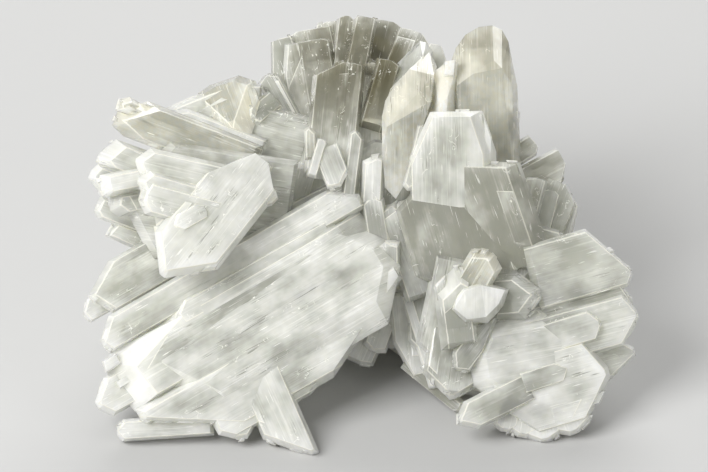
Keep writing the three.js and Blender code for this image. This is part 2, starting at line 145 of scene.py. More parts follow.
# Four tiers of blades make the back, in the part's own upright axes. Each fans round its hub from its start
# heading to its end heading, and rises by its tilt. The angles are in degrees and the sizes in mm.
BACK_TIERS = [
    dict(start=58, end=124, count=5, tilt=30, reach=46, wide=20, thick=8, hub=(2, 8, -6)),
    dict(start=30, end=152, count=8, tilt=8, reach=52, wide=19, thick=10, hub=(0, 8, -10)),
    dict(start=-2, end=184, count=12, tilt=-11, reach=58, wide=20, thick=11, hub=(0, 6, -14)),
    dict(start=-12, end=192, count=9, tilt=-32, reach=44, wide=22, thick=12, hub=(0, 12, -16)),
]
BACK_RHYTHM = 2.4  # radians between one blade's swing and the next
# How far a blade swings from its tier's mean: turn, rise and roll in degrees, the others as shares
BACK_SWING = dict(turn=4, rise=7, roll=35, reach=0.12, wide=0.2, setback=0.2)
BACK_SETBACK = 0.35  # how far the outline is set back beside the tip, over the width
BACK_POINT = 0.15  # length of the tip's edge, over the width
BACK_END = 0.6  # run of a termination face, over the thickness

# Thinner blades along each back blade, as shares of its own sizes
SATELLITES = 5
SATELLITE_BELOW = 3  # every third one grows on the lower face
SATELLITE_WIDE = (0.2, 0.45)
SATELLITE_THICK = (0.3, 0.5)
SATELLITE_REACH = (0.75, 0.97)
SATELLITE_RAISED = 0.15  # its middle's height over the back blade's face, over its own thickness
SATELLITE_TURN = 5  # most turn, in degrees
SATELLITE_SETBACK = (0.4, 2.0)  # times the setback of a back blade of its width
SATELLITE_SHADE = (0.2, 0.25)  # as for a step

# Steps between the seeds of one crystal's grain and the next, one for each kind of piece
CRYSTAL_SEED = 7.3
STRIP_SEED = 17.3
SATELLITE_SEED = 31.7
STEP_SEED_SPREAD = 5.0  # a step's grain differs from its blade's by up to this


def blade(look, tip, foot, size, cut, bevel=(), foot_cut=None):
    """One bladed crystal. Its size is width, thickness and roll in degrees. Its cut says how far the outline
    is set back at the left and right of the tip, where the tip's edge is and how long it is, and the foot may
    have the same. A bevel gives runs in place of the usual ones: end, left, right and the right end's."""
    wide, thick, roll = size
    end_run = bevel[0] if len(bevel) > 0 else END_BEVEL * thick
    left_run = bevel[1] if len(bevel) > 1 else min(SIDE_BEVEL * thick, MOST_BEVEL * wide)
    right_run = bevel[2] if len(bevel) > 2 else left_run
    right_end_run = bevel[3] if len(bevel) > 3 else end_run
    return dict(look=look, tip=tip, foot=foot, wide=wide, thick=thick, roll=roll, cut=cut,
                foot_cut=foot_cut or [0, 0, 0, wide], end_run=end_run, left_run=left_run,
                right_run=right_run, right_end_run=right_end_run)


def block(look, *corners):
    """One stout crystal, as the hull of its corners"""
    return dict(look=look, corners=corners)


# The broad bundle at the lower left: long parallel blades lying like shingles
LEFT_BUNDLE = [
    blade(PALE, [-65.4, -15.6, 8], [-31, 4.2, 1], [12.2, 7, 0], [3, 8.4, 0.4, 1.6]),
    blade(MILKY, [-67.4, -19.4, 3], [-51.6, -10.2, 0], [5.6, 3, 0], [0.4, 2.4, 0, 1]),
    blade(MILKY,
        [-63.2, -26, 11.6], [1, 11, 5.8], [8.6, 7, 0], [1.2, 5, -1, 1.6], [], [0.4, 6.8, -1.6, 2],
    ),
    blade(MILKY,
        [-59.4, -37.4, 12.4], [6.4, 0.6, 5.4], [16, 9, 0], [1.2, 3.8, 3, 7.6], [7, 1.2], [7.6, 2, 0, 2.4],
    ),
    blade(MILKY,
        [-50, -50.8, 13.6], [14.2, -13.8, 5.8], [18, 10, 0], [22, 0.4, 7, 4], [1.4, 1.8], [27.6, 0.4, 6, 4],
    ),
    blade(MILKY, [-34, -48.8, 14], [-3.8, -31.4, 9], [7, 6, 0], [3, 0.2, 0.8, 3], [], [10, 0, 1.6, 2]),
    blade(WHITE, [-64.2, -41.8, 12], [-38.4, -27.2, 6], [9.6, 6, 0], [2.4, 5, -0.4, 2]),
    blade(MILKY, [-59, -48.4, 11.6], [-34.8, -46.8, 11.6], [5.6, 6, 0], [1.2, 1.8, 0, 2.4]),
    blade(MILKY, [-29.8, -50.2, 14], [-24.4, -40.8, 11], [6, 5, 0], [1.6, 1.6, 0, 2]),
    blade(MILKY, [-13.8, -56.2, 14.4], [-25.8, -29, 11], [11.6, 7, 0], [0.2, 8.8, -4.4, 1.6]),
    blade(MILKY, [-43.6, -19.8, 13.4], [-6, 1.4, 9], [5.4, 3, 0], [0.4, 3, 0, 0.8]),
]

# The upper left spray: blades that point left, and a broad one that leans out over the bundle
LEFT_SPRAY = [
    blade(TINGED, [-59, 31, 6], [-24.4, 17.8, -2], [10.4, 9, 0], [3.8, 6.4, -1.6, 4.2], [2.6]),
    blade(MILKY, [-63.2, 21.4, 11], [-39.4, 12.8, 4], [7.8, 8, 0], [1.6, 3, -2, 2], [2.4]),
    blade(MILKY, [-66, 15.4, 6], [-46.6, 8.2, 0], [6.4, 6, 0], [3.8, 1.2, 0, 2]),
    blade(WHITE, [-62.8, 12.2, 16], [-50.2, 15, 9], [5.8, 8, 0], [0.8, 0.4, 0, 3.6], [1]),
    blade(PALE, [-60.8, 7.2, 12], [-48.8, 9.2, 7], [5.6, 7, 0], [2, 0.8, 0, 2], [2]),
    blade(PALE, [-64.4, 7.6, 4], [-39.8, -1.8, -2], [5.6, 6, 0], [1.6, 0.2, 0, 3]),
    blade(PALE, [-61.2, 1.8, 2], [-36.6, -7.6, -4], [4.8, 5, 0], [6.2, 1, -1, 2]),
    blade(WHITE,
        [-46.8, -10.4, 23], [-23.6, 19.2, 9], [18, 8, 0], [10.4, 7.8, 0.8, 1.6],
        [0.9, 1.3], [5.6, 13.2, -0.4, 5],
    ),
    blade(WHITE,
        [-45.4, 1.8, 21.4], [-36.6, 6.9, 18.2], [5.2, 5, 0], [1.6, 2.4, 0, 1.6], [1], [0.8, 2.4, 0, 2],
    ),
    blade(MILKY, [-54.2, 18.8, 15], [-27, 12.8, 11], [7.6, 8, 0], [2, 3, 0, 1]),
    blade(MILKY, [-53.6, 14, 18], [-31.4, 7.4, 13], [6.4, 8, 0], [2, 2, 0, 1]),
    blade(MILKY, [-53, 10.2, 18.4], [-33.4, 4.8, 15], [8.6, 8, 0], [2.4, 1, 0, 3]),
    blade(TINGED, [-21, 18, 9.6], [-29, 12.6, 12], [4.6, 5, 0], [1, 1.6, 0.4, 1.6]),
    blade(CREAM, [-19.2, 10.8, 10], [-27, 9, 12.4], [5.8, 5, 0], [1, 2, 0.6, 2]),
    blade(TINGED, [-58.6, 33.4, 4], [-46, 26, 1], [5, 6, 0], [1, 1.6, 0, 1.6]),
]

# The crystals behind the spray, between it and the fan
BACK_LEFT = [
    blade(TANNED,
        [-27.4, 23.8, -2], [-32.6, 39.2, -12], [14.8, 9, 0], [9, 5.2, 1.8, 6.4], [4], [3.2, 1.2, 0, 7.6],
    ),
    blade(PALE, [-46.6, 31.8, -6], [-23.2, 31.6, -10], [13, 6, 0], [11.8, 14.4, 0, 1]),
    blade(SMOKY_SHADED, [-46.2, 30.6, -1], [-22.6, 21.6, -4], [5.6, 6, 0], [1, 3.6, 0, 1]),
    blade(GLASSY, [-22.2, 40.6, -14], [-15.6, 28.6, -12], [6, 5, 0], [1, 1.6, 0, 1.6], [1]),
    blade(GLASSY, [-26.6, 28.6, -5], [-20, 34.2, -9], [5.6, 6, 0], [0.8, 1, 0, 3]),
    blade(PALE, [-26.2, 22, -8], [-17.2, 31.6, -12], [8, 7, -25], [1, 1, 0, 5]),
    blade(SMOKY_SHADED, [-15.8, 15.6, -8], [-14.6, 29.6, -10], [8, 7, 0], [1, 3.6, -1.6, 2]),
    blade(SMOKY_SHADED, [-12.8, 18.6, -6], [-16, 7.8, -8], [7.6, 7, 20], [1, 1, 0, 4]),
    blade(WHITE, [-19.6, 39.2, -11.6], [-14, 28.6, -10.6], [1.2, 3, 10], [0.2, 0.2, 0, 0.4]),
]

# The fan of broad, clear plates at the top back
BACK_FAN = [
    blade(GLASSY, [-19.6, 49.6, -26], [-9, 21.6, -16], [8.4, 5, 0], [7.6, 0.4, -0.4, 2.4]),
    blade(SMOKY_SHADED, [-12.6, 52.2, -30], [-6, 21.8, -20], [14, 5, 0], [2, 0.4, -1, 2.4]),
    blade(SMOKY_SHADED, [-12.6, 49.2, -20], [-8.4, 24.2, -14], [13.6, 7, 0], [8, 0.8, 0, 10]),
    blade(SMOKY_SHADED, [-5, 54.4, -32], [-2.2, 24.2, -20], [10, 5, 0], [1, 0.8, 0, 4]),
    blade(SMOKY_SHADED, [-1.8, 55.4, -24], [-4.6, 31.8, -14], [5, 6, 0], [1, 1.2, 0.2, 2]),
    blade(SMOKY_SHADED, [3, 54.8, -20], [-1.6, 31.6, -8], [6, 6, 0], [0.8, 0.4, 0, 4.4]),
    blade(DARK, [8.8, 53.8, -28], [3.6, 29.2, -14], [11, 6, 0], [0.8, 2, -0.4, 4]),
    blade(DARK, [16.2, 51, -26], [6.6, 26.6, -12], [11, 6, 0], [0.8, 3.6, -0.4, 3.6]),
    blade(SMOKY_SHADED, [22, 47.6, -22], [10.4, 24.2, -10], [7, 5, 0], [0.8, 3.6, -0.4, 1.6]),
    blade(DARK, [9, 44.2, -9], [4, 26.6, -4], [6.4, 6, 0], [0.4, 1, 0, 2]),
]

# The dark central column between the fan and the bundle
CENTRE_COLUMN = [
    blade(SMOKY_SHADED, [-3.4, 43.8, -9], [-6.4, 14, 0], [13, 8, 0], [4.4, 0.6, 2, 3.4]),
    blade(PALE, [0.8, 26.4, 1], [-1.4, 9, 4], [4, 6, 0], [1, 2, -0.4, 1]),
    blade(SMOKY_SHADED, [3, 43.8, -15], [3, 11.6, -6], [9, 7, 0], [1, 1, 0, 4]),
    blade(MILKY, [-3.4, 12.4, 6.4], [-7.2, 22, 3], [6.6, 3, 0], [3, 0.6, 0.4, 1.6], [0.5]),
    blade(MILKY, [-7.8, 24.2, 3.6], [-10.6, 14.6, 5.4], [2.6, 3, 0], [0.2, 0.6, 0, 1]),
    blade(TINGED, [-11, 27.4, 2.6], [-10.8, 19, 2.6], [3, 4, 0], [0.8, 1.6, -0.2, 0.4]),
]

# The stout upright crystals at the upper right, with frosted roof faces
UPRIGHTS = [
    block(WARM,
        [8.2, 27.2, 7], [19.2, 33.6, 3], [20, 40.2, 0], [14.4, 21.4, 6], [12.4, 12.4, 8],
        [10.4, 9.2, 8], [7.8, 12, 8], [7, 21, 8], [7, 29.8, 3], [7.8, 33.8, 1],
        [9.6, 36.8, -1], [13.8, 41.8, -4], [19, 46.2, -8], [20.8, 42.6, -8], [20.6, 34.2, -6],
        [9.6, 27.8, -8], [10.4, 11.6, 0], [17.8, 31.6, -12],
    ),
    blade(GLASSY, [16.4, 49.2, -12], [9, 26.6, -6], [8.4, 9, 0], [9, 1.6, 1, 1.6], [4]),
    blade(CREAM, [23, 43.8, -4], [21.4, 19, 1], [6, 9, 0], [3, 0.4, 1, 1], [8, 2]),
    block(TANNED,
        [25.8, 37.6, -1], [29.8, 40.6, -1.6], [35, 44, -3], [37, 42, -2], [39.6, 37.8, -3],
        [40, 14, 2], [27, 14, 3], [24.4, 44, -9], [25.6, 47.2, -10], [28, 50.6, -11],
        [31.4, 52.6, -12], [34.8, 53, -12], [37.2, 51.8, -12], [38.8, 49, -11], [39.6, 44.2, -9],
        [41, 37.6, -8], [41.4, 27.8, -6], [42, 14, -3], [25.2, 14, -3], [29.2, 44.4, -17],
        [36.8, 44.4, -17], [29.2, 14, -12], [38, 14, -12],
    ),
    blade(PALE, [40, 32.2, -8], [38.6, 15.2, -4], [3.6, 6, 0], [1, 1, 0, 1]),
    blade(MILKY, [24.4, 31, 10], [24.9, 7, 6.2], [21.6, 9, 0], [11.6, 10.4, 1, 13], [0.8, 0.5, 3.4, 3.2]),
    blade(GREY, [27.4, 22.3, 8.6], [38.2, -9.2, 4.6], [24, 9, -8], [0.4, 8.2, -11, 1], [0.8, 0.5, 3.4]),
    blade(PALE, [13.4, 9.4, 3], [21.4, -14, 2], [17.6, 8, 0], [2, 4.4, 0, 5]),
    blade(PALE, [13.4, 11.2, 9], [17.4, 27.4, 6], [3.2, 4, 0], [1, 1, 0, 0.4]),
    blade(SMOKY_SHADED, [5, 20.2, 5], [4.4, 7.8, 4], [5.6, 6, 0], [1.6, 0.4, 1, 1.6]),
    blade(PALE, [4.4, 10, 5], [6.4, -2.4, 4], [6, 6, 0], [1, 1, 0, 3]),
    blade(PALE, [9, 8, 4], [12, -6.4, 3], [6, 6, 0], [1, 1.6, 0, 2.4]),
    blade(PALE, [8, -1, 7], [8, -10, 5], [7, 6, 0], [1, 0.4, 0, 4.4]),
]

# The fringe of small blades down the right edge
RIGHT_FRINGE = [
    blade(GREY, [45.6, 23.4, -9], [35, 16.6, -5], [5.6, 5, 0], [0.6, 1.6, 0.6, 1.4]),
    blade(GREY, [53, 18, -9], [41, 11.6, -4], [9.6, 6, 0], [0.4, 4.4, -2, 4.6]),
    blade(GREY, [52, 11.8, -11], [49.6, 4, -8], [3, 4, 0], [0.8, 0.8, 0, 0.8]),
    blade(GREY, [45.6, 14.6, -2], [41, -2, 2], [6, 6, 0], [1, 0.4, 1, 3]),
    blade(PALE, [49.6, 11.4, -5], [45.6, -3.6, 0], [5, 5, 0], [0.8, 1, 0, 2.4]),
    blade(GREY, [54.2, 10.2, -8], [50.6, -4.8, -3], [5.6, 5, 0], [0.8, 2.4, -0.4, 2]),
    blade(PALE, [52, -2, 0], [44, 0, 2], [6.4, 6, 0], [1.6, 2, 0, 1.6]),
]

# The rosette at the lower right: plates that fan out from its left edge
ROSETTE = [
    blade(PALE, [67.8, -4, 5.4], [43.8, -10.8, 9.6], [16.8, 7, 0], [8.4, 1.8, 5, 2]),
    blade(PALE, [70.8, -19.8, 7.4], [37.6, -28.8, 10.6], [12.6, 6, 0], [2.4, 5.6, -0.4, 2]),
    blade(PALE, [69, -16, 4.8], [36.4, -25, 9.4], [10.6, 6, 0], [1.6, 3.6, 0, 2]),
    blade(MILKY, [61.6, -21.4, 9.6], [40.8, -27.6, 10.8], [8.4, 6, 0], [2.4, 2.2, 0, 2]),
    blade(PALE, [70.4, -29.8, 3], [46, -36.6, 7], [8.8, 6, 0], [2.4, 8.4, -1, 2]),
    blade(WHITE,
        [63.6, -34, 8.8], [34.6, -42.4, 10.4], [20, 8, 0], [4, 8.4, -0.4, 2.4], [], [0, 8.4, -4, 9],
    ),
    blade(PALE, [53.4, -33, 11], [41.2, -36.8, 13], [6, 5, 0], [3, 2, -0.4, 0.8]),
    blade(WHITE, [55.2, -49.2, 10], [50.2, -35.8, 9], [10, 6, 0], [2, 2, 0.4, 2.4]),
    blade(WHITE, [47.6, -51.4, 10], [45, -37, 9], [9, 6, 0], [1.6, 2, 0, 2.4]),
    blade(MILKY, [41.8, -50.2, 10], [43.8, -37, 9], [7, 6, 0], [1.6, 1.2, 0, 2.4]),
    blade(MILKY, [37.4, -48.8, 10], [40, -37, 10], [6.4, 6, 0], [1.6, 1.2, 0, 2.4]),
    blade(PALE, [25.6, -46.2, 15], [43.8, -37.2, 11.4], [7.8, 6, 0], [4, 3.6, 0, 1.6]),
    blade(PALE, [24.4, -39.8, 6], [28.4, -13.4, 6], [16, 8, 0], [5, 4.4, 0, 4]),
    blade(PALE, [18.4, -30, 0], [17.6, -8.6, -2], [9.6, 6, 0], [1, 3.6, 0, 3]),
    blade(GLASSY, [25.2, -33.2, 11.6], [35.6, -19.6, 13], [6.6, 6, 0], [1.6, 3, 0, 1], [], [9, 5, 0, 1]),
]

# The blocky little crystals in the middle of the right side
BLOCKS = [
    blade(PALE, [24.2, -8, 18], [26.8, -27.8, 12], [10.4, 9, 0], [4.4, 1.6, 1.6, 2.4], [3, 2]),
    blade(TINGED, [33.8, -4, 17], [25.4, -18.6, 15.6], [9, 8, 0], [1.6, 2, 0, 2.6], [2, 1.2]),
    block(WHITE,
        [27.4, -13.4, 23], [31.4, -12.2, 23], [37.4, -13.4, 20], [35.8, -16.8, 21], [32.6, -20, 22],
        [28, -20.6, 22], [24.8, -18, 22], [25.4, -15.6, 22], [26.2, -12.4, 17], [31.2, -11.2, 17],
        [39, -13.2, 14], [37.2, -17.4, 15], [33.2, -21.6, 16], [27.2, -21.8, 16], [23.4, -18.6, 16],
        [31.4, -16, 8],
    ),
    blade(GLASSY, [46.4, -14.4, 14], [34.4, -15.4, 11], [12, 8, 0], [5.6, 4.4, 0, 2.4], [2, 2]),
]

# The thin plates low in the gap between the bundle and the rosette
GAP_PLATES = [
    blade(MILKY, [14.6, -35.6, -2], [12.6, -14, -3], [8, 5, 0], [0.4, 9, -1, 2]),
    blade(WHITE, [20.4, -38, 2], [13, -14.4, 0], [3.2, 4, 0], [0.4, 0.4, 0, 1]),
    blade(GREY, [27.4, -43.4, 2], [12.6, -31.4, -4], [3.8, 5, 14], [0.4, 1, 0, 2]),
    blade(MILKY, [26, -40, 5], [18, -31.4, 2], [4.4, 5, 0], [0.8, 0.8, 0, 1.6]),
    blade(MILKY, [-0.2, -31.6, -8], [8.6, -12.2, -8], [10, 6, 0], [1, 1.6, 0, 3.6]),
    blade(MILKY, [9.6, -28.2, -10], [9.6, -12.4, -10], [7.6, 5, 0], [1, 1.6, 0, 2]),
    blade(MILKY, [4.8, -29, -4], [9.6, -16, -6], [6.4, 5, 0], [0.8, 1, 0, 2.4]),
]

# Broad blades just under the front crystals, which close the clefts between them
INFILL = [
    blade(MILKY, [-50, -35.4, 12.9], [8, -1.6, 7.6], [36, 7, 8], [12, 17, 3, 5], [4, 6], [10, 12, -3, 8]),
    blade(GREY, [22, 13, 8.2], [30, -14, 6.4], [26, 6, 0], [3, 2, 0, 16], [1, 1], [8, 2, 2, 12]),
    blade(MILKY, [56, -28, 9.3], [29, -33.4, 12], [26, 7, 0], [8, 8, 0, 8], [4, 6], [6, 8, 0, 8]),
    blade(PALE, [-56, 10, 8], [-16, 4, 2], [30, 10, 0], [8, 8, 0, 8]),
    blade(SMOKY_SHADED, [-8, 45, -24], [-8, 6, -9], [24, 10, 0], [6, 3, 0, 10]),
    blade(DARK, [12, 47, -27], [6, 16, -10], [22, 10, 0], [3, 6, 0, 10]),
    blade(PALE, [51, 14, -8], [42, -8, -2], [14, 8, 0], [3, 4, 0, 5]),
    blade(PALE, [64, -22, 3], [30, -28, 6], [34, 8, 0], [10, 9, 0, 12]),
    blade(PALE, [26, -34, 5], [32, -6, 8], [24, 8, 0], [5, 5, 0, 8]),
    blade(PALE, [-44, 28, -7], [-12, 20, -9], [20, 8, 0], [6, 8, 0, 4]),
    blade(PALE, [8, 24, -4], [6, -4, 0], [16, 8, 0], [3, 3, 0, 6]),
]

# The broad blades that lie deep between the front crystals, down to the base and out to the back
DEEP_BLADES = [
    blade(PALE, [-55, -23.6, -3], [4, 5.2, -12], [26, 14, 0], [5, 5, 0, 10]),
    blade(PALE, [-43.4, -39.6, 4], [4, -13.6, -4], [17.6, 12, 0], [5, 2.4, 0, 5]),
    blade(PALE, [-55.6, 9, -6], [-13.6, -1, -12], [21.6, 14, 0], [5, 5, 0, 7.6]),
    blade(PALE, [-50.8, 1, 10], [-16, 9, -8], [20, 14, 0], [5, 5, 0, 7.6]),
    blade(PALE, [-28.8, 31.4, -20], [-6, -1, -16], [25, 14, 0], [2.4, 7.6, 0, 10]),
    blade(PALE, [-1, 46, -36], [-1, -3.6, -18], [23, 14, 0], [2.4, 2.4, 0, 15]),
    blade(PALE, [16.6, 43, -22], [6.6, -3.6, -10], [15, 14, 0], [2.4, 2.4, 0, 7.6]),
    blade(PALE, [29.2, 34.2, -14], [19, -16, -8], [27.6, 14, 0], [5, 5, 0, 12.4]),
    blade(PALE, [46.8, 15.4, -14], [21.6, -11, -10], [21, 14, 0], [5, 5, 0, 7.6]),
    blade(PALE, [61.6, -13.6, -4], [21.6, -21, -8], [25, 14, 0], [7.6, 5, 0, 7.6]),
    blade(PALE, [59, -39.8, 2], [21.6, -27.4, -4], [19, 14, 0], [5, 5, 0, 7.6]),
    blade(PALE, [44, -47.2, 4], [31.6, -26, -2], [15, 12, 0], [2.4, 2.4, 0, 7.6]),
    blade(PALE, [17.6, -35, -10], [10.6, -3.6, -12], [12.4, 12, 0], [1.6, 12.4, -2.4, 3]),
    blade(PALE, [3, -28.8, -16], [5.6, -1, -14], [12.4, 12, 0], [2.4, 2.4, 0, 5]),
    blade(PALE, [45, -39, -12], [37, -5, -34], [24, 14, 0], [5, 3, 0, 8]),
    blade(PALE, [34, -36, -13], [32, -6, -30], [14, 12, 0], [3, 3, 0, 5]),
    blade(PALE, [2, -27, -33], [4, -3, -20], [18, 14, 0], [3, 3, 0, 6]),
    blade(PALE, [-47, 24, -12], [-19, 17, -14], [15, 11, 0], [3, 4, 0, 4]),
    blade(PALE, [55, 2, -13], [34, -9, -12], [13, 10, 0], [3, 3, 0, 4]),
    blade(PALE, [22, 35, -31], [14, 4, -24], [15, 12, 0], [3, 4, 0, 4]),
    blade(PALE, [3, 21, -54], [2, 6, -33], [16, 11, 0], [4, 5, 0, 3]),
]

FRONT = [
    *LEFT_BUNDLE, *LEFT_SPRAY, *BACK_LEFT, *BACK_FAN, *CENTRE_COLUMN, *UPRIGHTS, *RIGHT_FRINGE, *ROSETTE,
    *BLOCKS, *GAP_PLATES, *INFILL, *DEEP_BLADES,
]
NO_EDGE = (0, 0, FAR)  # the line of an edge that a crystal hasn't


def back_blade(tier, number, level):
    """One blade of a tier of the back. The tier's level from the top sets the blades' rhythm."""
    share = number / (tier["count"] - 1)
    swing = math.sin(BACK_RHYTHM * (number + 1) * (level + 1))
    turn = math.radians(tier["start"] + (tier["end"] - tier["start"]) * share + BACK_SWING["turn"] * swing)
    rise = math.radians(tier["tilt"] + BACK_SWING["rise"] * swing)
    heading = Vector((math.cos(turn) * math.cos(rise), math.sin(turn) * math.cos(rise), math.sin(rise)))
    length = tier["reach"] * (1 - BACK_SWING["reach"] * abs(swing))
    hub = Vector(tier["hub"])
    wide = tier["wide"] * (1 + BACK_SWING["wide"] * swing)
    slant = BACK_SWING["setback"] * swing
    cut = [wide * (BACK_SETBACK + slant), wide * (BACK_SETBACK - slant), 0, wide * BACK_POINT]
    size = [wide, tier["thick"], BACK_SWING["roll"] * swing]
    return blade(PALE, hub + length * heading, hub, size, cut, [BACK_END * tier["thick"]])


def back_blades():
    return [
        back_blade(tier, number, level)
        for level, tier in enumerate(BACK_TIERS)
        for number in range(tier["count"])
    ]


def outline(wide, length, cut, foot_cut):
    """A blade's outline in its middle plane, anticlockwise from the foot: x across, y along"""
    half = wide / 2
    left, right, tip, tip_flat = cut
    foot_left, foot_right, foot, foot_flat = foot_cut
    return [
        (foot + foot_flat / 2, 0), (half, foot_right),
        (half, length - right), (tip + tip_flat / 2, length),
        (tip - tip_flat / 2, length), (-half, length - left),
        (-half, foot_left), (foot - foot_flat / 2, 0),
    ]


def inward(start, end):
    """The unit normal of an outline's edge, pointing into the outline, or None if the edge has no length"""
    (x0, y0), (x1, y1) = start, end
    span = math.hypot(x1 - x0, y1 - y0)
    return (-(y1 - y0) / span, (x1 - x0) / span) if span >= TINY else None


def inset(corners, runs):
    """The convex polygon that lies inside each edge by the run given for it"""
    kept = list(corners)
    for i, (x0, y0) in enumerate(corners):
        normal = inward((x0, y0), corners[(i + 1) % len(corners)])
        if normal is None:
            continue
        depths = [(x - x0) * normal[0] + (y - y0) * normal[1] - runs[i] for x, y in kept]
        cut = []
        for j, (corner, here) in enumerate(zip(kept, depths)):
            after = kept[(j + 1) % len(kept)]
            there = depths[(j + 1) % len(kept)]
            if here >= 0:
                cut.append(corner)
            if (here >= 0) != (there >= 0):
                share = here / (here - there)
                cut.append(tuple(a + share * (b - a) for a, b in zip(corner, after)))
        kept = cut
    return kept


def crossings(corners, x):
    """Where a line along the blade, at x across, crosses its outline"""
    found = []
    for i, (x0, y0) in enumerate(corners):
        x1, y1 = corners[(i + 1) % len(corners)]
        if min(x0, x1) <= x <= max(x0, x1) and abs(x1 - x0) > TINY:
            found.append(y0 + (y1 - y0) * (x - x0) / (x1 - x0))
    return found


def edge_line(start, end, run, length):
    """The line (a, b, c) of an edge's bevel: a x + b y + c is a point's distance from it"""
    (x0, y0), (x1, y1) = start, end
    if math.hypot(x1 - x0, y1 - y0) < SHORT:
        return (0, -1, length - run)
    a, b = inward(start, end)
    return (a, b, -(x0 * a + y0 * b) - run)


def edge_lines(corners, length, left_run, right_run, end_run, right_end_run):
    """The bevels' lines of a blade: left side, right side, left end and right end"""
    return [
        edge_line(corners[5], corners[6], left_run, length),
        edge_line(corners[1], corners[2], right_run, length),
        edge_line(corners[4], corners[5], end_run, length),
        edge_line(corners[2], corners[3], right_end_run, length),
    ]


def strip_lines(left, right, ends):
    """The lines of a strip, which has no side edges, and whose end slants from ends[0] to ends[1]"""
    slope = (ends[1] - ends[0]) / (right - left)
    norm = math.hypot(1, slope)
    end = (slope / norm, -1 / norm, (ends[0] - slope * left) / norm)
    return [NO_EDGE, NO_EDGE, end, end]


def hull_of(name, points):
    """The convex closed mesh of the points"""
    bm = bmesh.new()
    for point in points:
        bm.verts.new(point)
    bmesh.ops.remove_doubles(bm, verts=bm.verts, dist=NEAR)
    hull = bmesh.ops.convex_hull(bm, input=bm.verts)
    left_over = {*hull["geom_interior"], *hull["geom_unused"]}
    loose = [item for item in left_over if isinstance(item, bmesh.types.BMVert)]
    bmesh.ops.delete(bm, geom=loose, context="VERTS")
    bmesh.ops.dissolve_limit(bm, angle_limit=FLAT, verts=bm.verts, edges=bm.edges)
    bmesh.ops.recalc_face_normals(bm, faces=bm.faces)
    mesh = bpy.data.meshes.new(name)
    bm.to_mesh(mesh)
    bm.free()
    return mesh


def fade_smoke_and_shade(looks, spots, place):
    """Takes the smoky tint, which is partly painted shade of the pocket, from the corners that are far from
    the pocket, and makes them milky instead
    """
    leaning = np.array((TO_PART @ TURNED_UP).inverted() @ place)
    spots = spots @ leaning[:3, :3].T + leaning[:3, 3]
    away = np.hypot(spots[:, 0] - POCKET[0], spots[:, 1] - POCKET[1])
    share = np.clip(POCKET_EVEN - away / POCKET_REACH, 0, 1)
    looks[:, 0] += POCKET_MILK * (1 - share)
    looks[:, 1] *= share


def hull_mesh(name, points, place, look, seed, lines, length):
    """A convex closed mesh of the points in its place. Each face corner carries what the material needs: its
    grain (across, from the tip, seed), its distance from both sides and whether the face is a side, its
    distance from both ends and whether the face is an end, and its look."""
    mesh = hull_of(name, points)
    count = len(mesh.loops)
    corner = np.empty(count, dtype=np.int32)
    mesh.loops.foreach_get("vertex_index", corner)
    spots = np.empty(len(mesh.vertices) * 3, dtype=np.float32)
    mesh.vertices.foreach_get("co", spots)
    spots = spots.reshape(-1, 3)[corner]
    x, y = spots[:, 0], spots[:, 1]
    facing = np.array([face.normal for face in mesh.polygons for _ in face.loop_indices], dtype=np.float32)
    is_side = np.abs(facing[:, 0]) > SIDE_OVER_END * np.abs(facing[:, 1]) + SIDE_LEAST
    is_end = facing[:, 1] > END_LEAST
    left, right, end_left, end_right = [a * x + b * y + c for a, b, c in lines]
    looks = np.tile(np.array(look, dtype=np.float32), (count, 1))
    # smoky looks carry painted shade of the pocket, which fades away from it
    if look[1] >= SMOKY_SHADED[1]:
        fade_smoke_and_shade(looks, spots, place)
    values = dict(
        grain=np.stack([x, length - y, np.full(count, seed)], 1),
        sides=np.stack([left, right, is_side], 1),
        ends=np.stack([end_left, end_right, is_end], 1),
        look=looks,
    )
    for key, value in values.items():
        mesh.attributes.new(key, "FLOAT_VECTOR", "CORNER")
        mesh.attributes[key].data.foreach_set("vector", value.astype(np.float32).ravel())
    mesh.transform(place)
    return mesh


def axes_of(crystal):
    """A blade's own axes in millimetres: across, along and out of its plate, and its length"""
    foot = Vector(crystal["foot"])
    along = Vector(crystal["tip"]) - foot
    length = along.length
    along.normalize()
    out = Vector((0, 0, 1)) - along * along.z
    out.normalize()
    out = Matrix.Rotation(math.radians(crystal["roll"]), 3, along) @ out
    across = along.cross(out)
    turn = Matrix((across, along, out)).transposed().to_4x4()
    return Matrix.Translation(foot) @ turn, length


def block_mesh(crystal, number, to_part):
    points = [Vector(corner) for corner in crystal["corners"]]
    top = max(point.y for point in points)
    seed = CRYSTAL_SEED * number
    return hull_mesh(f"c{number}", points, to_part, crystal["look"], seed, [NO_EDGE] * 4, top)


